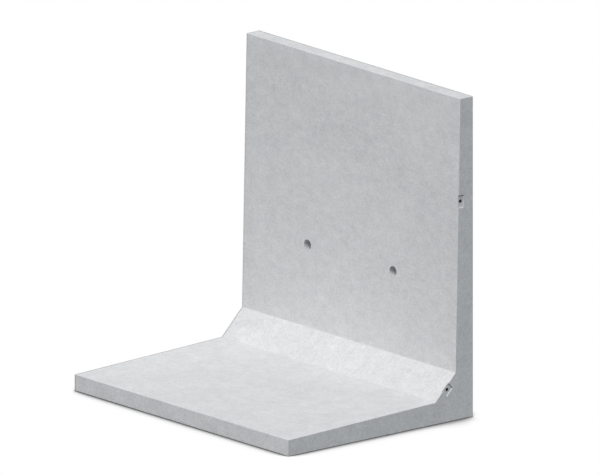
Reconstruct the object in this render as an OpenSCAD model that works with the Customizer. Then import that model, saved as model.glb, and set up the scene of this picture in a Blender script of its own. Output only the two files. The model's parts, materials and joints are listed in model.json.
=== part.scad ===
// Precast concrete angle wall unit: one L-shaped casting with a battered stem, a tapered base
// and a haunch in the inner corner. Two lifting holes pass through the stem. The right-hand end has
// two shallow pockets, one at the stem's inner edge and one at the haunch, and each pocket holds a
// cast-in threaded socket for the fitting that couples the unit to the next one.
// Millimetres. X runs along the wall, +Y points to the plain outer face, Z is up.
// The origin is the middle of the footprint, on the ground.

/* [Unit] */
// Length of the unit along the wall
unit_length = 2000; // [1000:10:3000]
// Height from the ground to the top of the stem
unit_height = 1992; // [1600:1:2600]
// Depth of the base from its toe to the outer face of the stem
unit_depth = 1450; // [900:10:2000]

/* [Stem] */
// Thickness of the stem at its top
stem_top_thickness = 100; // [80:1:135]
// Thickness of the stem where its inner face, carried down, meets the top of the base
stem_root_thickness = 140; // [105:1:220]

/* [Base] */
// Thickness of the base at its toe
base_toe_thickness = 100; // [80:1:135]
// Thickness of the base where its top, carried on, meets the inner face of the stem
base_root_thickness = 140; // [105:1:220]

/* [Haunch] */
// Run of the haunch along the base from the inner corner
haunch_run = 155; // [90:1:300]
// Rise of the haunch up the stem from the inner corner
haunch_rise = 155; // [90:1:300]

/* [Lifting holes] */
// Diameter of a lifting hole
lifting_hole_d = 65; // [30:1:90]
// Distance between the two lifting holes
lifting_hole_spacing = 800; // [200:10:860]
// Height of the lifting holes above the ground
lifting_hole_height = 800; // [600:10:1150]

/* [Coupling pockets] */
// Depth of a pocket below the end face
pocket_depth = 7; // [6:0.5:25]
// How far each pocket wall leans in between its mouth and its floor, for striking the former
pocket_draft = 1; // [0:0.5:4]
// Length of the stem's pocket along the inner face
stem_pocket_length = 78; // [60:1:110]
// Width of the stem's pocket from the inner face into the end of the unit
stem_pocket_width = 40; // [36:1:60]
// Height of the middle of the stem's pocket above the ground
stem_pocket_height = 1353; // [1250:1:1500]
// Length of the haunch's pocket along the sloping face
haunch_pocket_length = 66; // [60:1:110]
// Width of the haunch's pocket from the sloping face into the end of the unit
haunch_pocket_width = 49; // [44:1:66]

/* [Threaded sockets] */
// Outside diameter of a socket
socket_d = 26; // [24:0.5:30]
// Core diameter of the thread, here of a 20 mm coarse thread
socket_bore_d = 17.3; // [8:0.1:20]
// Length of a socket from the pocket's floor to its closed end
socket_length = 80; // [70:1:150]
// Depth of the threaded bore
socket_bore_depth = 60; // [20:1:65]
// Width of the lead-in chamfer at the mouth of the thread
socket_chamfer = 1.5; // [0:0.1:1.8]

/* [Hidden] */

$fn = 96;
// Length by which a cut runs on past the face that it opens
cut_over = 5;

concrete_grey = [0.76, 0.77, 0.78];
socket_grey = [0.50, 0.51, 0.52];

// The cross-section is drawn as [y, z] points.
toe_y = -unit_depth / 2;
outer_y = unit_depth / 2;
toe_top = [toe_y, base_toe_thickness];
stem_head = [outer_y - stem_top_thickness, unit_height];
inner_corner = [outer_y - stem_root_thickness, base_root_thickness];

// Point on the line from a to b, at share t of the way
function between(a, b, t) = a + t * (b - a);

// Share of the way from low to high at which a value lies
function share(value, low, high) = (value - low) / (high - low);

// Point of the stem's inner face at height z
function stem_face(z) =
    between(inner_corner, stem_head, share(z, inner_corner[1], stem_head[1]));

// Point of the base's top at depth y
function base_top(y) =
    between(toe_top, inner_corner, share(y, toe_top[0], inner_corner[0]));

// Lean about X, in degrees, of a face that rises from point a to point b: 0 if it is upright
function lean(a, b) = atan2(a[0] - b[0], b[1] - a[1]);

haunch_head = stem_face(base_root_thickness + haunch_rise);
haunch_foot = base_top(inner_corner[0] - haunch_run);

// Middle and lean of the inner face at each kind of pocket
stem_pocket_middle = stem_face(stem_pocket_height);
stem_pocket_lean = lean(inner_corner, stem_head);
haunch_pocket_middle = between(haunch_foot, haunch_head, 1 / 2);
haunch_pocket_lean = lean(haunch_foot, haunch_head);

// Outline of the unit's cross-section, from the toe round the outer face
module section() {
    polygon([
        [toe_y, 0],
        [outer_y, 0],
        [outer_y, unit_height],
        stem_head,
        haunch_head,
        haunch_foot,
        toe_top
    ]);
}

// Carries a [y, z] outline along the wall, centred on the origin
module along_wall(length) {
    rotate([90, 0, 90])
        linear_extrude(height = length, center = true)
            children();
}

// Puts children at a pocket: X points out of the end face, Y into the concrete, Z up the inner face
module at_pocket(middle, face_lean) {
    translate([unit_length / 2, middle[0], middle[1]])
        rotate([face_lean, 0, 0])
            children();
}

module at_stem_pocket() {
    at_pocket(stem_pocket_middle, stem_pocket_lean)
        children();
}

module at_haunch_pocket() {
    at_pocket(haunch_pocket_middle, haunch_pocket_lean)
        children();
}

// Turns children that lie along Z to run along X, from the middle of a pocket's floor into the concrete
module into_floor(width) {
    translate([-pocket_depth, width / 2, 0])
        rotate([0, -90, 0])
            children();
}

// Room of one pocket: open at the end face and at the inner face, with its other walls drafted
module pocket_room(length, width) {
    spread = pocket_draft * cut_over / pocket_depth;
    half = length / 2;
    intersection() {
        rotate([90, 0, 0])
            linear_extrude(height = 3 * width, center = true)
                polygon([
                    [-pocket_depth, -half + pocket_draft],
                    [cut_over, -half - spread],
                    [cut_over, half + spread],
                    [-pocket_depth, half - pocket_draft]
                ]);
        linear_extrude(height = 2 * length, center = true)
            polygon([
                [-pocket_depth, -cut_over],
                [cut_over, -cut_over],
                [cut_over, width + spread],
                [-pocket_depth, width - pocket_draft]
            ]);
    }
}

// Cavity that a socket fills, cut into the floor of its pocket
module socket_seat(width) {
    into_floor(width)
        translate([0, 0, -cut_over])
            cylinder(d = socket_d, h = socket_length + cut_over);
}

// Threaded socket, closed at its inner end, with its mouth flush with the pocket's floor
module socket(width) {
    color(socket_grey)
        into_floor(width)
            difference() {
                cylinder(d = socket_d, h = socket_length);
                translate([0, 0, -cut_over])
                    cylinder(d = socket_bore_d, h = socket_bore_depth + cut_over);
                translate([0, 0, -socket_chamfer])
                    cylinder(
                        d1 = socket_bore_d + 4 * socket_chamfer,
                        d2 = socket_bore_d,
                        h = 2 * socket_chamfer
                    );
            }
}

// Two round holes straight through the stem
module lifting_holes() {
    for (side = [-1, 1])
        translate([side * lifting_hole_spacing / 2, outer_y + cut_over, lifting_hole_height])
            rotate([90, 0, 0])
                cylinder(d = lifting_hole_d, h = stem_root_thickness + 2 * cut_over);
}

// The whole concrete unit, cast in one pour
module wall_casting() {
    color(concrete_grey)
        difference() {
            along_wall(unit_length) section();
            lifting_holes();
            at_stem_pocket() {
                pocket_room(stem_pocket_length, stem_pocket_width);
                socket_seat(stem_pocket_width);
            }
            at_haunch_pocket() {
                pocket_room(haunch_pocket_length, haunch_pocket_width);
                socket_seat(haunch_pocket_width);
            }
        }
}

module stem_socket() {
    at_stem_pocket() socket(stem_pocket_width);
}

module haunch_socket() {
    at_haunch_pocket() socket(haunch_pocket_width);
}

wall_casting();
stem_socket();
haunch_socket();
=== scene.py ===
# %% [markdown]
# # A precast retaining wall unit
# The object is one L-shaped block of grey concrete that holds back a bank of earth: an upright
# stem, a base slab under the earth, and a haunch in the corner between them. Its overall size
# could be typed in again here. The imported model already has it, so the first step is to load that
# model as a fixed frame, and to read the box and the mounts that the rest is worked out from.

# %% Load the frame
import json
import math
from collections import namedtuple

import bpy
import numpy as np
from mathutils import Matrix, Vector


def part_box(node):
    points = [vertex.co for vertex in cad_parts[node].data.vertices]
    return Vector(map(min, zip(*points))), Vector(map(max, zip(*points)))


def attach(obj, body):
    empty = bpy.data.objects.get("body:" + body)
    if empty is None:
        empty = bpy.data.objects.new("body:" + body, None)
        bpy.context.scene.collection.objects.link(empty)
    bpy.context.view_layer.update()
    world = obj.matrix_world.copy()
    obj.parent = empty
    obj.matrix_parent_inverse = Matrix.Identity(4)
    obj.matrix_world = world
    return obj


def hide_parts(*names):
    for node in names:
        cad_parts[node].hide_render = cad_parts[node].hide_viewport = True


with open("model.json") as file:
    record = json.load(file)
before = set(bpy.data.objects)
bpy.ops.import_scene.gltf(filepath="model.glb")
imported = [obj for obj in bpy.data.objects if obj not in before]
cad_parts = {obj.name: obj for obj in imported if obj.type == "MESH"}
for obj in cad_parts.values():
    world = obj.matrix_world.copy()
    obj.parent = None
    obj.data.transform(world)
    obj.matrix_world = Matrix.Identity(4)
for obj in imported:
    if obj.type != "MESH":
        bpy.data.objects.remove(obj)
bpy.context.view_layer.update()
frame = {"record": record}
mounts = {mount["name"]: mount for mount in frame["record"]["mounts"]}
low, high = (np.array(corner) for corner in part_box("wall_casting"))
unit_length, unit_depth, unit_height = high - low
print(f"the unit is {unit_length:.2f} m long, {unit_depth:.2f} m deep, {unit_height:.2f} m high")

# %% [markdown]
# ## The cross-section
# A mould maker draws the unit as one outline and carries it along the wall. The outer face and
# the underside are square to each other. The inner face of the stem leans back a little and the
# base thins towards its toe, so the two meet at an inner corner that the haunch then fills.
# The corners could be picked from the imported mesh, but worked out from the thicknesses, as on a
# drawing, they show what each of them is for. They are [y, z] points, in order round the outline
# with the concrete on the left.

# %% Corners of the section
stem_top_thickness = 0.100
stem_root_thickness = 0.140
base_toe_thickness = 0.100
base_root_thickness = 0.140
haunch_run = 0.155
haunch_rise = 0.155

toe_y, outer_y = low[1], high[1]
toe_top = np.array([toe_y, base_toe_thickness])
stem_head = np.array([outer_y - stem_top_thickness, unit_height])
inner_corner = np.array([outer_y - stem_root_thickness, base_root_thickness])

stem_lean = (stem_head - inner_corner) / (stem_head - inner_corner)[1]
base_slope = (inner_corner - toe_top) / (inner_corner - toe_top)[0]
haunch_head = inner_corner + haunch_rise * stem_lean
haunch_foot = inner_corner - haunch_run * base_slope

section = np.array([
    (toe_y, 0.0),
    (outer_y, 0.0),
    (outer_y, unit_height),
    stem_head,
    haunch_head,
    haunch_foot,
    toe_top,
])
print("section corners:", section.round(4).tolist())

# %% [markdown]
# ## Points along a face
# A face of the unit could be one large polygon. It is divided here, because struck concrete is
# never quite flat and needs points to wave at. Near its ends a face gets points that lie close
# together, and further in they settle to an even step. An even step all the way would spread the
# soft light of an edge too far into the face.

# %% Graded steps
face_step = 0.030
first_step = 0.003
longest_ramp = 0.4


def unit(vectors):
    """Each vector divided by its own length."""
    return vectors / np.linalg.norm(vectors, axis=-1, keepdims=True)


def graded(run_length, step):
    """Shares along a run: steps double from first_step at both ends until the even step is reached.

    The doubling stops at the longest_ramp share of the run. Places are rounded to a micrometre, so
    that two that fall together count once.
    """
    doublings = max(0, int(math.log2(step / first_step)))
    ramp = first_step * (2.0 ** np.arange(1, doublings + 1) - 1.0)
    ramp = ramp[ramp < longest_ramp * run_length]
    start = ramp[-1] if len(ramp) else 0.0
    count = max(1, math.ceil((run_length - 2.0 * start) / step))
    middle = np.linspace(start, run_length - start, count + 1)
    places = np.concatenate([ramp[:-1], middle, run_length - ramp[-2::-1]])
    return np.unique(places.round(6))[:, None] / run_length


print("places along 0.3 m:", (0.3 * graded(0.3, face_step)[:, 0]).round(3).tolist())

# %% [markdown]
# ## Arrises
# Concrete can't be cast to a knife edge: a mould leaves each edge, or arris, eased by a few
# millimetres, and that thin soft line is what makes an edge look cast and not drawn. It could be
# added by a Bevel modifier. Here the outline itself is eased, because then the same function
# also serves the pockets later. A corner becomes a parabola that touches both faces at the
# ease's distance from the corner.

# %% Outline with eased corners
arc_points = 5
arc_share = np.linspace(0.0, 1.0, arc_points)[:, None]
# In the order of the section's corners
corner_ease = np.array([0.0025, 0.0025, 0.002, 0.003, 0.004, 0.004, 0.002])
Outline = namedtuple("Outline", "points mitres normals faces distance")


def eased_outline(corners, ease, step):
    """Closed outline through corners that are eased by parabolas.

    On a corner P with unit vectors a to the last corner and b to the next one, a point at share s
    is P + ease * ((1 - s)^2 a + s^2 b). On a run it lies between the ends of two such arcs.
    The Outline holds the points, the mitre that moves each of them when all faces move in by 1,
    their outward normals, the face that each belongs to, and their distance round the outline.
    """
    to_last = unit(np.roll(corners, 1, axis=0) - corners)
    to_next = unit(np.roll(corners, -1, axis=0) - corners)
    normal = np.stack([to_next[:, 1], -to_next[:, 0]], axis=1)
    normal_before = np.roll(normal, 1, axis=0)
    mitre = (normal + normal_before) / (1.0 + (normal * normal_before).sum(1))[:, None]
    points, mitres, normals, faces = [], [], [], []
    for i in range(len(corners)):
        j = (i + 1) % len(corners)
        arc = ease[i] * ((1.0 - arc_share) ** 2 * to_last[i] + arc_share ** 2 * to_next[i])
        start = corners[i] + ease[i] * to_next[i]
        end = corners[j] + ease[j] * to_last[j]
        # The ends of the two arcs stand for the first and the last place of the run
        share = graded(np.linalg.norm(end - start), step)[1:-1]
        points += [corners[i] + arc, start + share * (end - start)]
        mitres += [np.tile(mitre[i], (arc_points, 1)), mitre[i] + share * (mitre[j] - mitre[i])]
        turned = unit((1.0 - arc_share) * normal_before[i] + arc_share * normal[i])
        normals += [turned, np.tile(normal[i], (len(share), 1))]
        faces += [i - 1.0 + arc_share[:, 0], np.full(len(share), float(i))]
    points = np.concatenate(points)
    distance = np.linalg.norm(points - np.roll(points, 1, axis=0), axis=1).cumsum()
    rest = (np.concatenate(part) for part in (mitres, normals, faces))
    return Outline(points, *rest, distance)


outline = eased_outline(section, corner_ease, face_step)
print(f"outline: {len(outline.points)} points, {outline.distance[-1]:.2f} m round")

# %% [markdown]
# ## Waves in the faces
# Struck and floated concrete is never a perfect plane: each face dips by up to a millimetre along
# a few long waves, more on the base and haunch, which are finished by hand, than on the faces
# that lay against steel. Bump alone could fake this in the light, but the real shape would stay
# dead flat. A sum of plane waves moves the points themselves. It only ever moves them inwards, so
# the unit keeps its size.

# %% Long waves
# Faces: underside, outer face, stem top, stem inner face, haunch, base top, toe
face_dip = np.array([0.0, 0.0004, 0.0004, 0.0005, 0.0009, 0.0011, 0.0004])
wave_length = np.geomspace(0.18, 1.1, 9)
wave_seed = 5


def long_waves(along, around):
    """Field from 0 to 1: the mean of plane waves with seeded headings and phases."""
    rng = np.random.default_rng(wave_seed)
    heading = rng.uniform(0.0, 2.0 * np.pi, len(wave_length))
    phase = rng.uniform(0.0, 2.0 * np.pi, len(wave_length))
    pitch_along = np.cos(heading) / wave_length
    pitch_around = np.sin(heading) / wave_length
    angle = 2.0 * np.pi * (along[..., None] * pitch_along + around[..., None] * pitch_around) + phase
    return 0.5 + 0.5 * np.sin(angle).mean(axis=-1)


print("deepest dip of each face, in mm:", (1000.0 * face_dip).round(1).tolist())

# %% [markdown]
# ## The casting as rings
# The outline is carried along the wall from end to end, as the concrete fills the mould. Near each
# end it moves in along its mitres on a quarter circle, which eases the arris round the end face.
# Extruding one face would give the block as well, but not the eased ends and the waves: so each
# station along the wall gets its own ring of points, all in one array.

# %% Carry the outline along the wall
end_x = unit_length / 2.0
end_ease = 0.002


def rings_at(x, across):
    """Rings in space: each ring of [y, z] points at its own place along X."""
    along = np.broadcast_to(x[:, None, None], across.shape[:2] + (1,))
    return np.concatenate([along, across], axis=-1)


def stations():
    """Places along X from the right-hand end to the left, and how far the outline is in at each."""
    turn = np.linspace(0.0, np.pi / 2.0, arc_points)[:-1]
    ease_x = end_x - end_ease * (1.0 - np.cos(turn))
    ease_inset = end_ease * (1.0 - np.sin(turn))
    share = graded(unit_length - 2.0 * end_ease, face_step)[:, 0]
    run_x = (end_x - end_ease) * (1.0 - 2.0 * share)
    x = np.concatenate([ease_x, run_x, -ease_x[::-1]])
    return x, np.concatenate([ease_inset, np.zeros(len(run_x)), ease_inset[::-1]])


def casting_rings():
    """Rings of the casting: outline - inset * mitre - dip * waves * normal, at each station."""
    x, inset = stations()
    # An arc lies between the numbers of its two faces, and the first arc between -1, the toe, and 0
    face_numbers = np.arange(-1.0, len(face_dip))
    dip = np.interp(outline.faces, face_numbers, np.append(face_dip[-1], face_dip))
    wave = long_waves(x[:, None], outline.distance[None, :])
    shift = inset[:, None, None] * outline.mitres + (dip * wave)[..., None] * outline.normals
    return rings_at(x, outline.points - shift)


rings = casting_rings()
print(f"casting: {rings.shape[0]} rings of {rings.shape[1]} points")

# %% [markdown]
# ## From arrays to a mesh
# Every new piece in this file is a closed tube: rings of points along a path, joined by four-sided
# faces, with a cap on the first and the last ring. It could be extruded ring by ring, but one
# function that takes the whole array is shorter and faster. The rings run so that the cross
# product of the path's direction and the ring's points out of the solid.

# %% Tube of rings


def capped_tube(name, rings):
    """Object made of an array of rings, of shape (rings, points round, 3), with both ends capped."""
    ring_count, around = rings.shape[:2]
    index = np.arange(ring_count * around).reshape(ring_count, around)
    turned = np.roll(index, -1, axis=1)
    quads = np.stack([index[:-1], index[1:], turned[1:], turned[:-1]], axis=-1).reshape(-1, 4)
    mesh = bpy.data.meshes.new(name)
    faces = quads.tolist() + [index[0].tolist(), index[-1, ::-1].tolist()]
    mesh.from_pydata(rings.reshape(-1, 3), [], faces)
    mesh.validate()
    piece = bpy.data.objects.new(name, mesh)
    bpy.context.collection.objects.link(piece)
    return piece


casting = capped_tube("concrete_casting", rings)
print("casting:", len(casting.data.polygons), "faces before the cuts")

# %% [markdown]
# ## Lifting holes
# Two round holes go through the stem for the lifting gear. A hole in concrete has an eased lip
# like every other edge. A plain cylinder would cut it sharp, so the tool is a turned shape: a
# straight barrel that flares at both faces in two short cones. The inner face leans, so that end
# of the tool is sheared to lean with it.

# %% Tools for the lifting holes
hole_sides = 64
hole_lip = 0.0012
lip_break = 0.37
lip_angle = math.radians(30)
overshoot = 0.003
lifting_holes = [mounts[f"lifting_hole_{side}"] for side in ("left", "right")]


def bore_radius(mount):
    """Radius of a round mount in metres."""
    return mount["dims"]["r_mm"] / 1000.0


def full_turn(sides):
    """Even angles once round."""
    return np.linspace(0.0, 2.0 * np.pi, sides, endpoint=False)


def lip_profile(lip):
    """Distance past the face, and growth of the opening, along a lip of two short cones.

    The cones meet at the lip_break share of the lip. The last point carries the outer cone on past
    the face, so that the cut is clean.
    """
    carried_on = overshoot * np.array([0.0, 0.0, 1.0])
    past = lip * np.array([-1.0, -lip_break, 0.0]) + carried_on
    growth = lip * np.array([0.0, lip_break, 1.0]) + carried_on / math.tan(lip_angle)
    return past, growth


def lifting_hole_tool(mount):
    """Rings round the hole's axis, from inner face to outer: radius r(s), at y(s) + lean * rise."""
    centre = np.array(mount["pos_m"])
    inner_y = inner_corner[0] + (centre[2] - inner_corner[1]) * stem_lean[0]
    past, growth = lip_profile(hole_lip)
    along = np.concatenate([inner_y - past[::-1], outer_y + past])
    size = bore_radius(mount) + np.concatenate([growth[::-1], growth])
    lean = np.repeat([stem_lean[0], 0.0], len(past))
    angle = full_turn(hole_sides)
    x = centre[0] + size[:, None] * np.cos(angle)
    rise = size[:, None] * np.sin(angle)
    y = along[:, None] + lean[:, None] * rise
    return capped_tube(mount["name"] + "_tool", np.stack([x, y, centre[2] + rise], axis=-1))


hole_tools = [lifting_hole_tool(mount) for mount in lifting_holes]
print("lifting hole tools:", [tool.name for tool in hole_tools])

# %% [markdown]
# ## Coupling pockets
# At its right-hand end the unit is bolted to its neighbour by fittings that sit in two shallow
# pockets, one at the stem's inner edge and one on the haunch. A pocket is left by a block fixed
# in the mould: its sides lean so that the block comes free. A bevelled box would do for an
# upright pocket, but these follow the lean of their inner faces. So the block is a rectangle that
# changes size as it goes out, a tube of outlines. Towards the inner face, where the pocket is
# open, the block simply runs on.

# %% Tools for the pockets
pocket_depth = 0.007
pocket_draft = 0.001
pocket_lip = 0.0008
pocket_corner = 0.002
floor_ease = 0.0008
open_side = 0.015
inner_faces = {"stem": (inner_corner, stem_head), "haunch": (haunch_foot, haunch_head)}
# Length along the inner face and width into the concrete
pocket_sizes = {"stem": (0.078, 0.040), "haunch": (0.066, 0.049)}


def pocket_frame(kind):
    """Socket axis, direction up the inner face and direction into the concrete, all as [y, z]."""
    foot, head = inner_faces[kind]
    up = unit(head - foot)
    return np.array(mounts[f"{kind}_thread"]["pos_m"])[1:], up, np.array([up[1], -up[0]])


def pocket_tool(kind):
    """Rounded rectangles, outline - inset * mitre, from the pocket's floor out past the end face."""
    axis, up, into = pocket_frame(kind)
    length, width = pocket_sizes[kind]
    far, near = width / 2.0, -width / 2.0 - open_side
    top, bottom = length / 2.0, -length / 2.0
    corners = np.array([(far, bottom), (far, top), (near, top), (near, bottom)])
    # The step is longer than any side, so a side has points near its corners alone
    block = eased_outline(corners, np.full(len(corners), pocket_corner), 2.0 * length)
    past, growth = lip_profile(pocket_lip)
    out = np.concatenate([[-pocket_depth, floor_ease - pocket_depth], past])
    inset = np.concatenate([[floor_ease, 0.0], -growth]) - pocket_draft * out / pocket_depth
    local = block.points - inset[:, None, None] * block.mitres
    across = axis + local[..., :1] * into - local[..., 1:] * up
    return capped_tube(f"{kind}_pocket_tool", rings_at(end_x + out, across))


pocket_tools = [pocket_tool(kind) for kind in inner_faces]
print("pocket tools:", [tool.name for tool in pocket_tools])

# %% [markdown]
# ## Threaded sockets
# A steel socket is cast in behind each pocket, with its mouth just below the pocket's floor. It
# is a turned piece: outside wall, mouth ring, lead-in chamfer, threaded bore and a drilled end.
# Only the thread isn't turned: its crest climbs once round for every pitch of depth. A Screw
# modifier could make it as a piece of its own. Here the piece is one tube whose radius, along the
# bore, also swings with depth / pitch - angle / turn, so it stays closed.

# %% Sockets and their seats
socket_sides = 48
socket_radius = 0.013
socket_length = 0.080
socket_recess = 0.0005
seat_clearance = 0.00005
thread_pitch = 0.0025
thread_rise = 0.00135
rings_per_pitch = 8
chamfer = 0.0015
drill_tip = 0.004
tip_share = 0.125


def turned_along_x(name, kind, depth, radius, rise):
    """Rings round a socket's axis, at depths below the pocket's floor, of radius + rise * thread."""
    axis = pocket_frame(kind)[0]
    angle = full_turn(socket_sides)
    turn = (depth[:, None] / thread_pitch - angle / (2.0 * np.pi)) % 1.0
    thread = np.abs(2.0 * turn - 1.0)
    size = radius[:, None] + rise[:, None] * thread
    across = axis + size[..., None] * np.stack([np.cos(angle), -np.sin(angle)], axis=1)
    return capped_tube(name, rings_at(end_x - pocket_depth - depth, across))


def socket(kind):
    """Closed steel socket: back, outside, mouth, chamfer, thread, drilled end."""
    bore = mounts[f"{kind}_thread"]
    core = bore_radius(bore)
    thread_length = bore["dims"]["length_mm"] / 1000.0
    thread_end = chamfer + thread_length
    count = int(thread_length / thread_pitch * rings_per_pitch)
    mouth = core + thread_rise + chamfer / 2.0
    outside_and_mouth = [socket_radius, socket_radius, mouth]
    thread = np.linspace(chamfer, thread_end, count)
    depth = np.concatenate([[socket_length, 0.0, 0.0], thread, [thread_end + drill_tip]])
    radius = np.concatenate([outside_and_mouth, np.full(count, core), [core * tip_share]])
    rise = np.concatenate([np.zeros(3), np.full(count, thread_rise), [0.0]])
    return turned_along_x(f"threaded_{kind}_socket", kind, depth + socket_recess, radius, rise)


def seat_tool(kind):
    """Plain round tool for the seat of a socket, from behind the socket to halfway up the pocket."""
    depth = np.array([socket_length + 2.0 * socket_recess, -pocket_depth / 2.0])
    radius = np.full(2, socket_radius - seat_clearance)
    return turned_along_x(f"{kind}_seat_tool", kind, depth, radius, np.zeros(2))


sockets = {f"{kind}_socket": socket(kind) for kind in inner_faces}
seat_tools = [seat_tool(kind) for kind in inner_faces]
print("sockets:", {name: len(piece.data.polygons) for name, piece in sockets.items()})

# %% [markdown]
# ## Cutting the casting
# On the real unit the holes, pockets and seats are left by formers in the mould. The mesh could
# be woven round them by hand. Boolean modifiers take the tools out of the casting instead, one
# after the other, and the result is read back as a plain mesh. Edges that turn by more than the
# crease angle stay sharp in the shading. On the rest, a Weighted Normal modifier lets the larger
# face lead at every corner, so that a big flat end face isn't bent in the light by the thin
# arris round it.

# %% Boolean cuts
crease = math.radians(35)


def cut_away(piece, tools):
    """Subtracts each tool from the piece, keeps the resulting mesh and deletes the tools."""
    for tool in tools:
        cut = piece.modifiers.new(tool.name, "BOOLEAN")
        cut.operation = "DIFFERENCE"
        cut.solver = "MANIFOLD"
        cut.object = tool
    evaluated = piece.evaluated_get(bpy.context.evaluated_depsgraph_get())
    cut_mesh = bpy.data.meshes.new_from_object(evaluated)
    piece.modifiers.clear()
    piece.data = cut_mesh
    for tool in tools:
        bpy.data.objects.remove(tool)


def smooth_shading(piece):
    """Smooth shading with creases at the sharp edges, led by the larger face at every corner."""
    piece.data.shade_smooth()
    piece.data.set_sharp_from_angle(angle=crease)
    weighted = piece.modifiers.new("larger_face_leads", "WEIGHTED_NORMAL")
    weighted.mode = "FACE_AREA"
    weighted.keep_sharp = True


cut_away(casting, hole_tools + pocket_tools + seat_tools)
for piece in (casting, *sockets.values()):
    smooth_shading(piece)
print("casting:", len(casting.data.polygons), "faces after the cuts")

# %% [markdown]
# ## Shader maths as expressions
# A finish could be built node by node and link by link, but it is easier to read as a formula.
# This small class wraps one output socket of a node. Adding, subtracting, multiplying or comparing
# it with a number or with another such value adds the Math node, and one method makes every other
# kind of node.

# %% Values that build nodes


class Value:
    """One node socket of a material, on which Python's operators add Math nodes."""

    def __init__(self, tree, output):
        self.tree = tree
        self.output = output

    def node(self, kind, settings=None, inputs=None, output=0):
        """New node of a kind: settings are set first, then sockets get values or links."""
        made = self.tree.nodes.new(kind)
        for name, setting in (settings or {}).items():
            setattr(made, name, setting)
        feed(made, inputs or {})
        return Value(self.tree, made.outputs[output])

    def math(self, operation, first, second):
        return self.node("ShaderNodeMath", {"operation": operation}, {0: first, 1: second})

    def __add__(self, other):
        return self.math("ADD", self, other)

    def __sub__(self, other):
        return self.math("SUBTRACT", self, other)

    def __rsub__(self, other):
        return self.math("SUBTRACT", other, self)

    def __mul__(self, other):
        return self.math("MULTIPLY", self, other)

    def __gt__(self, other):
        return self.math("GREATER_THAN", self, other)

    __radd__ = __add__
    __rmul__ = __mul__

    def vector(self, operation, *others, output="Vector"):
        """Vector Math node on this value and others, whose output may be a Vector or a Value."""
        inputs = dict(enumerate((self, *others)))
        return self.node("ShaderNodeVectorMath", {"operation": operation}, inputs, output)

    def between(self, low, high):
        """0 below low, 1 above high, and a smooth step from one to the other."""
        inputs = {"Value": self, "From Min": low, "From Max": high}
        return self.node("ShaderNodeMapRange", {"interpolation_type": "SMOOTHSTEP"}, inputs)

    def mix(self, first, second):
        """Colour that goes from first to second as this value goes from 0 to 1."""
        inputs = {0: self, 6: first, 7: second}
        return self.node("ShaderNodeMix", {"data_type": "RGBA"}, inputs, output=2)


def feed(node, inputs):
    """Links values to a node's sockets, or sets plain numbers and colours on them."""
    for name, given in inputs.items():
        if isinstance(given, Value):
            given.tree.links.new(given.output, node.inputs[name])
        else:
            node.inputs[name].default_value = given


def own_place(tree):
    """Value that a tree's formulas start from: where a point lies on its own object."""
    return Value(tree, tree.nodes.new("ShaderNodeTexCoord").outputs["Object"])


def new_material(name):
    """New material, its Principled shader and the place that its patterns start from."""
    material = bpy.data.materials.new(name)
    material.use_nodes = True
    shader = material.node_tree.nodes["Principled BSDF"]
    return material, shader, own_place(material.node_tree)


print("values know + - * and >, vector maths, smooth steps and colour mixes")

# %% [markdown]
# ## Patterns in the concrete
# Fair-faced concrete is a pale, slightly cool grey that is never even. Cement paste dries in
# clouds and mottles of every size from a hand's width down to a grain of sand, which is what a
# fractal noise draws: octaves of ever finer patches. A picture wrapped round the unit would
# stretch and repeat, so the patterns are worked out in the unit's own space, as if all of it were
# cut from one block. Where bubbles lay against the mould they leave pin-sized air holes.

# %% Noise and air holes
mottle_size = 0.10
cloud_size = 0.40
grain_size = 0.016
grit_size = 0.009
sand_size = 0.0022
air_hole_spacing = 0.022
air_hole_radius = 0.0018
air_hole_edge = 0.02
filled_cells = 0.72
Patterns = namedtuple("Patterns", "mottle clouds grain grit sand")


def noise(place, size, detail=1.0, roughness=0.5):
    """Noise from 0 to 1 with patches of about the given size in metres."""
    inputs = {"Vector": place, "Scale": 1.0 / size, "Detail": detail, "Roughness": roughness}
    return place.node("ShaderNodeTexNoise", {"noise_dimensions": "3D"}, inputs)


def concrete_patterns(place):
    """The five noises of the concrete, of which mottle and grain go on into finer octaves."""
    mottle = noise(place, mottle_size, detail=6.0, roughness=0.95)
    clouds = noise(place, cloud_size)
    grain = noise(place, grain_size, detail=3.0, roughness=0.85)
    return Patterns(mottle, clouds, grain, noise(place, grit_size), noise(place, sand_size))


def air_holes(place):
    """Mask of round holes: the middles of random cells, most of which stay filled."""
    settings = {"feature": "F1", "distance": "EUCLIDEAN"}
    inputs = {"Vector": place, "Scale": 1.0 / air_hole_spacing}
    distance = place.node("ShaderNodeTexVoronoi", settings, inputs, output="Distance")
    cell = place.node("ShaderNodeTexVoronoi", settings, inputs, output="Color")
    chance = cell.node("ShaderNodeSeparateColor", inputs={"Color": cell}, output="Red")
    radius = chance.between(filled_cells, 1.0) * (air_hole_radius / air_hole_spacing)
    return 1.0 - (distance - radius).between(-air_hole_edge, air_hole_edge)


print(f"patches from {1000 * cloud_size:.0f} mm down to {1000 * sand_size:.1f} mm")

# %% [markdown]
# ## Faces of the concrete
# The stem, the ends and the toe lay against the mould, so they show the mottle most and have the
# air holes. The base and the haunch were struck off and floated by hand, which works a skin of
# fine mortar to the surface. Each face could have a material of its own, with a seam at every
# arris. Instead, the faces are told apart by the way they point and by their height, and the
# masks fade into each other round an arris. The stem was poured in layers, so on its upright inner
# and outer faces the patterns lie in flat lenses: there the noise is read at stretched heights.

# %% Masks by face
# Where each mask starts and where it is full: shares of a normal, then heights
points_up = (0.3, 0.6)
lies_level = (0.8, 0.95)
points_across = (0.2, 0.6)
above_base = (0.4, 0.5)
above_toe = (0.15, 0.25)
layer_squash = 0.55
Faces = namedtuple("Faces", "haunch floated moulded top inner_stem")


def along_axis(vector, axis):
    """One coordinate of a vector."""
    return vector.node("ShaderNodeSeparateXYZ", inputs={"Vector": vector}, output=axis)


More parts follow.
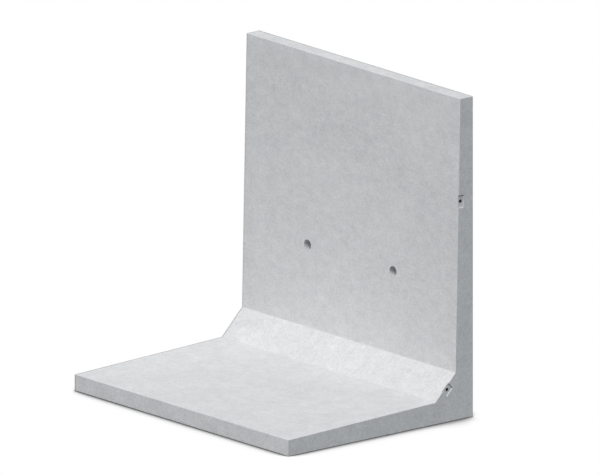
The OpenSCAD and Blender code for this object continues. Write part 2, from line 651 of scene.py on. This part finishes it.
def facing(place, axis):
    """How much a surface points along an axis: one coordinate of its normal."""
    return along_axis(place.node("ShaderNodeTexCoord", output="Normal"), axis)


def face_masks(place):
    """Masks of the haunch, of haunch and base, of the rest, of the stem's top and of its inner face."""
    rise = facing(place, "Z")
    height = along_axis(place, "Z")
    facing_up = rise.between(*points_up)
    floated = facing_up * (1.0 - height.between(*above_base))
    haunch = floated * (1.0 - rise.between(*lies_level))
    moulded = 1.0 - floated
    facing_earth = (0.0 - facing(place, "Y")).between(*points_across)
    inner_stem = facing_earth * moulded * height.between(*above_toe)
    return Faces(haunch, floated, moulded, facing_up - floated, inner_stem)


def in_layers(place, moulded):
    """Place with its heights stretched on the inner and outer faces."""
    across = facing(place, "Y")
    upright = (across * across).between(*np.square(points_across)) * moulded
    inputs = {"X": 1.0, "Y": 1.0, "Z": 1.0 + upright * layer_squash}
    return place.vector("MULTIPLY", place.node("ShaderNodeCombineXYZ", inputs=inputs))


print(f"patterns on upright faces lie {1.0 + layer_squash:.2f} times as flat")

# %% [markdown]
# ## Shaded places
# The upper walls of the lifting holes and the upward faces in the pockets are painted darker, and the
# strip right under a pocket's upper lip darkest: painted shade, for the shade that falls in these
# recesses. Such places could be painted by hand. A place can also be said as a distance, from a
# point or past a plane, and such a formula stays right when the unit's size changes.

# %% Masks by distance
all_axes = (1.0, 1.0, 1.0)
across_wall = (0.0, 1.0, 1.0)
in_wall_plane = (1.0, 0.0, 1.0)


def within(place, point, axes, core, reach):
    """1 inside the core distance from a point, 0 past the reach, counted along the axes that are 1."""
    target = tuple(value * axis for value, axis in zip(point, axes))
    distance = place.vector("MULTIPLY", axes).vector("DISTANCE", target, output="Value")
    return 1.0 - distance.between(core, reach)


def beyond(place, point, direction):
    """Distance past a [y, z] point along a [y, z] direction."""
    distance = place.vector("DOT_PRODUCT", (0.0, *direction), output="Value")
    return distance - float(np.dot(point, direction))


print("masks by distance: within a reach of a point, beyond a plane")

# %% Hole roofs and pockets
upwards = (0.0, 1.0)
hole_wall_edge = (0.0005, 0.0015)
roof_edge = (-0.02, 0.01)
pocket_reach = (0.060, 0.062)
below_end_face = (-0.0025, -0.0005)
behind_inner_face = (0.0015, 0.003)
lip_strips = {"stem": 0.008, "haunch": 0.0028}
lip_edge = (-0.002, 0.002)


def under_hole_roofs(place):
    """Mask of the upper walls of the two lifting holes."""
    roofs = 0.0
    for hole in lifting_holes:
        core, reach = (bore_radius(hole) + edge for edge in hole_wall_edge)
        wall = within(place, hole["pos_m"], in_wall_plane, core, reach)
        roofs = roofs + wall * beyond(place, hole["pos_m"][1:], upwards).between(*roof_edge)
    return roofs


def inside_pockets(place):
    """Mask of the two pockets, and of the strip of each that lies right under its upper lip."""
    sunk = 1.0 - (along_axis(place, "X") - end_x).between(*below_end_face)
    inside, under_lip = 0.0, 0.0
    for kind, strip in lip_strips.items():
        axis, up, into = pocket_frame(kind)
        length, width = pocket_sizes[kind]
        near = within(place, (end_x, *axis), all_axes, *pocket_reach)
        past_face = beyond(place, axis - width / 2.0 * into, into)
        past_strip = beyond(place, axis + (length / 2.0 - strip) * up, up)
        pocket = near * sunk * past_face.between(*behind_inner_face)
        inside = inside + pocket
        # Painted shade: the strip right under each pocket's upper lip, for the shade of the overhang
        under_lip = under_lip + pocket * past_strip.between(*lip_edge)
    return inside, under_lip


print("strips under the pockets' upper lips:", lip_strips)

# %% [markdown]
# ## Far arrises
# A thin line of painted shade follows the left-hand end and the outer edge of the stem's top, for
# the shade along those edges. It is a matter of a centimetre, so a strip by distance from the end
# and from the outer face is enough: a groove or a piece of its own would be more than the real unit
# has. On the stem the line is fainter.

# %% Strips along two edges
arris_strip = (0.006, 0.016)
off_left_end = (-0.7, -0.3)
stem_start = (-0.01, 0.01)
stem_line_fade = 0.55


def far_arrises(place, top):
    """Mask of painted shade: a strip along the left-hand end, fainter on the stem, and one along the
    top's edge.
    """
    from_left = along_axis(place, "X") + end_x
    from_outer = outer_y - along_axis(place, "Y")
    on_stem = (along_axis(place, "Z") - haunch_head[1]).between(*stem_start)
    not_the_end = facing(place, "X").between(*off_left_end)
    left = (1.0 - from_left.between(*arris_strip)) * not_the_end * (1.0 - stem_line_fade * on_stem)
    return left + (1.0 - from_outer.between(*arris_strip)) * top


print(f"strips along two edges, {1000 * arris_strip[1]:.0f} mm wide")

# %% [markdown]
# ## Tone of the concrete
# All patterns and places add up to one number, the tone, which picks a grey between the dark paste
# and the pale one. Mixing colours pattern by pattern would do too, but with one sum each gain says
# plainly how much its pattern counts. Broad tones come first: the paste is a little paler on
# the haunch, at the head of the stem and at the left of the base, and a little greyer near the toe
# and on the struck top of the stem. The stem's inner face is also painted paler towards the inner
# corner: painted light, for the light that the base throws back onto it. Fine tones swing about
# their middle: the moulded faces have more mottle and grain, the haunch more grain, and the ends,
# the toe and the outer face more grit.

# %% Broad tones
middle_tone = 0.52
corner_bounce_light, corner_reach = 0.13, (0.05, 0.85)
head_gain, head_reach = 0.07, (0.0, 0.35)
left_gain, left_reach, left_middle = 0.08, (0.2, 1.0), (-1.0, 0.1, 0.15)
toe_loss, toe_reach, toe_middle = 0.13, (0.2, 1.2), (0.65, -0.55, 0.1)
haunch_gain = 0.08
top_loss = 0.13


def broad_tone(place, faces):
    """Tone of each face before its fine pattern."""
    at_corner = within(place, (0.0, *inner_corner), across_wall, *corner_reach)
    at_head = within(place, (0.0, *stem_head), across_wall, *head_reach)
    at_left = within(place, left_middle, all_axes, *left_reach)
    at_toe = within(place, toe_middle, all_axes, *toe_reach)
    # Painted light: paler towards the inner corner, for the light that the base throws back onto the
    # stem
    stem_tone = faces.inner_stem * (at_corner * corner_bounce_light + at_head * head_gain)
    floated_tone = faces.floated * (at_left * left_gain - at_toe * toe_loss)
    return middle_tone + stem_tone + floated_tone + faces.haunch * haunch_gain - faces.top * top_loss


print("middle tone:", middle_tone)

# %% Fine tones
mottle_gain, moulded_mottle_gain, cloud_gain = 1.65, 0.15, 0.30
grain_gain, haunch_grain_gain, moulded_grain_gain = 0.95, 0.5, 0.45
grit_gain, sand_gain = 0.9, 0.5
speck_range, speck_loss = (0.60, 0.74), 0.12


def swing(pattern):
    """How far a pattern from 0 to 1 lies above or below its middle."""
    return pattern - 0.5


def fine_tone(patterns, faces):
    """Tone that the patterns add, each with the gain that it has on a face."""
    mottle_of_face = mottle_gain + faces.moulded * moulded_mottle_gain
    grain_of_face = grain_gain + faces.haunch * haunch_grain_gain + faces.moulded * moulded_grain_gain
    ends_toe_and_outer = faces.moulded - faces.top - faces.inner_stem
    tone = swing(patterns.mottle) * mottle_of_face + swing(patterns.clouds) * cloud_gain
    tone = tone + swing(patterns.grain) * grain_of_face + swing(patterns.sand) * sand_gain
    tone = tone + swing(patterns.grit) * ends_toe_and_outer * grit_gain
    return tone - patterns.grit.between(*speck_range) * speck_loss


print("gains of mottle, grain and grit:", mottle_gain, grain_gain, grit_gain)

# %% [markdown]
# ## Concrete finish
# The finish puts it all together: the tone picks the grey of the paste, and the air holes and the
# painted shade lie over it. The same patterns roughen the surface. Sand and bubbles are too small
# for the mesh, and a displaced mesh that fine would be far too heavy, so a Bump node gives them to
# the light. Concrete is matt, and shines a little less than a painted surface would.

# %% Cast concrete
concrete_dark = (0.530, 0.538, 0.547, 1.0)
concrete_pale = (0.772, 0.774, 0.779, 1.0)
air_hole_shade_grey = (0.36, 0.37, 0.38, 1.0)
painted_shade_grey = (0.22, 0.225, 0.23, 1.0)
hole_roof_shade, pocket_ledge_shade, arris_painted_shade = 0.45, 0.35, 0.5
mottle_relief, grain_relief, sand_relief, hole_relief = 0.5, 0.35, 0.3, 2.0
bump_strength, bump_height = 0.25, 0.001
concrete_roughness, mottle_roughness = 0.78, 0.2
concrete_specular = 0.3


def concrete_bump(patterns, holes):
    """Normal that follows the patterns' heights and dips into the air holes."""
    height = patterns.mottle * mottle_relief + patterns.grain * grain_relief
    height = height + patterns.sand * sand_relief - holes * hole_relief
    inputs = {"Strength": bump_strength, "Distance": bump_height, "Height": height}
    return height.node("ShaderNodeBump", inputs=inputs)


def concrete_finish():
    """Cool pale grey with mottle, clouds, grain, sand, air holes and painted shade, all in object space.
    """
    material, shader, place = new_material("cast_concrete")
    faces = face_masks(place)
    patterns = concrete_patterns(in_layers(place, faces.moulded))
    holes = air_holes(place) * faces.moulded
    in_pockets, under_lip = inside_pockets(place)
    # Painted shade: the upper walls of the lifting holes are painted darker, for the shade inside the
    # holes
    painted_recess_shade = under_hole_roofs(place) * hole_roof_shade
    # Painted shade: the upward faces inside the pockets are painted darker, for the shade in the recess
    painted_recess_shade = painted_recess_shade + in_pockets * (faces.top + faces.floated) * pocket_ledge_shade
    tone = broad_tone(place, faces) + fine_tone(patterns, faces) - painted_recess_shade
    # Painted shade: the air holes are painted a darker grey, for the shade in the pits
    paste = holes.mix(tone.mix(concrete_dark, concrete_pale), air_hole_shade_grey)
    # Painted shade: dark grey under each pocket's upper lip and along two far arrises
    painted_shade_mask = under_lip + far_arrises(place, faces.top) * arris_painted_shade
    feed(shader, {
        "Base Color": painted_shade_mask.mix(paste, painted_shade_grey),
        "Roughness": concrete_roughness + swing(patterns.mottle) * mottle_roughness,
        "Specular IOR Level": concrete_specular,
        "Normal": concrete_bump(patterns, holes),
    })
    return material


concrete = concrete_finish()
casting.data.materials.clear()
casting.data.materials.append(concrete)
print("material:", concrete.name)

# %% [markdown]
# ## Socket steel
# The sockets are dull galvanised steel. Their mouths are dusted with cement, so they look much
# like the concrete round them, while the bore is painted nearly black: painted shade, with old
# thread grease. Two materials on one piece would need its faces sorted. The depth below the
# pocket's floor tells the two apart as well, in one material.

# %% Steel finish
dusty_zinc = (0.47, 0.475, 0.48, 1.0)
bare_zinc = (0.34, 0.345, 0.35, 1.0)
greased_and_shaded_bore = (0.018, 0.018, 0.018, 1.0)
blotch_size, blotch_detail = 0.006, 3.0
grease_and_shade_depth = 0.7 * chamfer
steel_roughness, blotch_roughness = 0.45, 0.3
steel_metallic = 0.3


def steel_finish():
    """Dusty zinc grey with blotches at the mouth, painted nearly black down the bore: painted shade,
    with thread grease.
    """
    material, shader, place = new_material("galvanised_socket_steel")
    blotches = noise(place, blotch_size, detail=blotch_detail)
    depth = (end_x - pocket_depth - socket_recess) - along_axis(place, "X")
    zinc = blotches.mix(bare_zinc, dusty_zinc)
    feed(shader, {
        # Painted shade: nearly black down the bore, with thread grease
        "Base Color": depth.between(0.0, grease_and_shade_depth).mix(zinc, greased_and_shaded_bore),
        "Roughness": steel_roughness + blotches * blotch_roughness,
        "Metallic": steel_metallic,
    })
    return material


steel = steel_finish()
for piece in sockets.values():
    piece.data.materials.append(steel)
print("material:", steel.name)

# %% [markdown]
# ## Floor
# The unit stands on plain white paper. A lit white floor would come out grey, or need more light
# than suits the concrete, so to the camera this one is simply white, and it darkens only beside
# the unit. The shade has two layers. A wide soft one goes by an Ambient Occlusion node, which
# measures how much of the sky the unit hides from a spot, and reaches less far behind the unit. A
# narrow dark line goes by the distance from the footprint, which is pulled in a little at the two
# far sides, where the line is fainter. For bounced light the floor is an even, dim glow.

# %% Shade on the floor
paper_white = (1.0, 1.0, 1.0, 1.0)
contact_dark = (0.05, 0.05, 0.05, 1.0)
floor_bounce = (0.232, 0.250, 0.262, 1.0)
wide_reach, wide_reach_behind = 0.40, 0.20
past_outer_face = (-0.03, 0.02)
wide_shade = (0.45, 0.79)
shade_samples = 16
contact_line = (-0.012, 0.024)
far_side_gap = 0.012


def open_sky(start):
    """Share of the sky above a spot that nothing within reach hides, with less reach behind the unit."""
    behind = (along_axis(start, "Y") - outer_y).between(*past_outer_face)
    reach = wide_reach + behind * (wide_reach_behind - wide_reach)
    settings = {"samples": shade_samples}
    return start.node("ShaderNodeAmbientOcclusion", settings, {"Distance": reach}, output="AO")


def outside_footprint(start):
    """Distance of a spot from the unit's footprint, which is pulled in at its two far sides."""
    centre = (far_side_gap / 2.0, -far_side_gap / 2.0, 0.0)
    half = ((unit_length - far_side_gap) / 2.0, (unit_depth - far_side_gap) / 2.0, 1.0)
    past = start.vector("SUBTRACT", centre).vector("ABSOLUTE").vector("SUBTRACT", half)
    return past.vector("MAXIMUM", (0.0, 0.0, 0.0)).vector("LENGTH", output="Value")


print(f"shade reaches {wide_reach:.2f} m, and {wide_reach_behind:.2f} m behind the unit")

# %% White floor
floor_half = 400.0


def seen_or_lit(start, seen, lit):
    """Mix of two shaders: what cameras and reflections see, and what lights the scene."""
    camera = start.node("ShaderNodeLightPath", output="Is Camera Ray")
    glossy = start.node("ShaderNodeLightPath", output="Is Glossy Ray")
    through = start.node("ShaderNodeLightPath", output="Is Transmission Ray")
    # Each of the three is 0 or 1
    watched = (camera + glossy + through) > 0.5
    return start.node("ShaderNodeMixShader", inputs={0: watched, 1: lit, 2: seen})


def show(shader, output_kind):
    """Links a shader to a new output node of its tree."""
    feed(shader.tree.nodes.new(output_kind), {"Surface": shader})


def floor_finish():
    """White with a contact shadow for the camera, an even glow for bounced light."""
    material = bpy.data.materials.new("white_floor")
    material.use_nodes = True
    material.node_tree.nodes.clear()
    start = own_place(material.node_tree)
    wide = open_sky(start).between(*wide_shade)
    narrow = outside_footprint(start).between(*contact_line)
    paper = (wide * narrow).mix(contact_dark, paper_white)
    seen = start.node("ShaderNodeEmission", inputs={"Color": paper})
    bounce = start.node("ShaderNodeEmission", inputs={"Color": floor_bounce})
    show(seen_or_lit(start, seen, bounce), "ShaderNodeOutputMaterial")
    return material


floor_corners = np.array([(-1, -1), (1, -1), (1, 1), (-1, 1)]) * floor_half
floor_mesh = bpy.data.meshes.new("floor")
floor_mesh.from_pydata(np.column_stack([floor_corners, np.zeros(4)]), [], [(0, 1, 2, 3)])
floor = bpy.data.objects.new("floor", floor_mesh)
bpy.context.collection.objects.link(floor)
floor_mesh.materials.append(floor_finish())
print("floor:", 2.0 * floor_half, "m square")

# %% [markdown]
# ## Sky and sun
# The light is soft daylight: an even, slightly cool sky, and a broad warm sun from the front, from
# high up and a little to the right. A ring of area lamps could do the same, but their light would
# fall off over two metres of wall. Sky and sun light every face evenly, so each face has its own
# tone by the way it points. To the camera the sky is as white as the floor.

# %% Even sky
sky_colour = (0.520, 0.551, 0.575, 1.0)

scene = bpy.context.scene
scene.view_settings.view_transform = "Standard"
world = bpy.data.worlds.new("even_sky")
scene.world = world
world.use_nodes = True
world.node_tree.nodes.clear()
sky = own_place(world.node_tree)
white = sky.node("ShaderNodeBackground", inputs={"Color": paper_white})
even = sky.node("ShaderNodeBackground", inputs={"Color": sky_colour})
show(seen_or_lit(sky, white, even), "ShaderNodeOutputWorld")
print("sky:", sky_colour[:3])

# %% Soft sun
sun_strength = 1.92
sun_colour = (1.0, 0.957, 0.938)
sun_from = np.array([0.20, -0.50, 0.84])
sun_angle = math.radians(30)


def aim(thing, backwards):
    """Turns a lamp or camera so that its own +Z points backwards along the given direction."""
    direction = unit(backwards)
    side = unit(np.cross((0.0, 0.0, 1.0), direction))
    matrix = np.eye(4)
    matrix[:3, :3] = np.column_stack([side, np.cross(direction, side), direction])
    matrix[:3, 3] = thing.location
    thing.matrix_world = Matrix(matrix.tolist())


sun_lamp = bpy.data.lights.new("soft_sun", "SUN")
sun_lamp.energy = sun_strength
sun_lamp.color = sun_colour
sun_lamp.angle = sun_angle
sun = bpy.data.objects.new("soft_sun", sun_lamp)
bpy.context.collection.objects.link(sun)
aim(sun, sun_from)
print("sun from", sun_from.tolist())

# %% [markdown]
# ## Camera
# The photograph has no vanishing points: parallel edges stay parallel, as in a drawing. A very long
# lens from far away would come close to that. An orthographic camera, turned to the same angle,
# has it exactly. Its width in metres comes from the length of the unit's upright edges in the
# picture, and its centre from where they stand.

# %% Parallel camera
view_azimuth = math.radians(50)
view_elevation = math.radians(15)
view_width = 3.6077
view_centre = np.array([0.2368, 0.0071, 1.0792])
camera_distance = 12.0
camera_reach = 100.0

camera_data = bpy.data.cameras.new("parallel_camera")
camera_data.type = "ORTHO"
camera_data.ortho_scale = view_width
camera_data.clip_end = camera_reach
camera = bpy.data.objects.new("camera", camera_data)
bpy.context.collection.objects.link(camera)
backwards = np.array([
    math.sin(view_azimuth) * math.cos(view_elevation),
    -math.cos(view_azimuth) * math.cos(view_elevation),
    math.sin(view_elevation),
])
camera.location = view_centre + camera_distance * backwards
aim(camera, backwards)
scene.camera = camera
print(f"camera spans {view_width:.2f} m")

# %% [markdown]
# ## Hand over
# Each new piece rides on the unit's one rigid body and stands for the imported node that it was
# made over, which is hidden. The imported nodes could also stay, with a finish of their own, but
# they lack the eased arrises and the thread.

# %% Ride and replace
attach(casting, "root")
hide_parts("wall_casting")
for node, piece in sockets.items():
    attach(piece, "root")
    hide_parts(node)
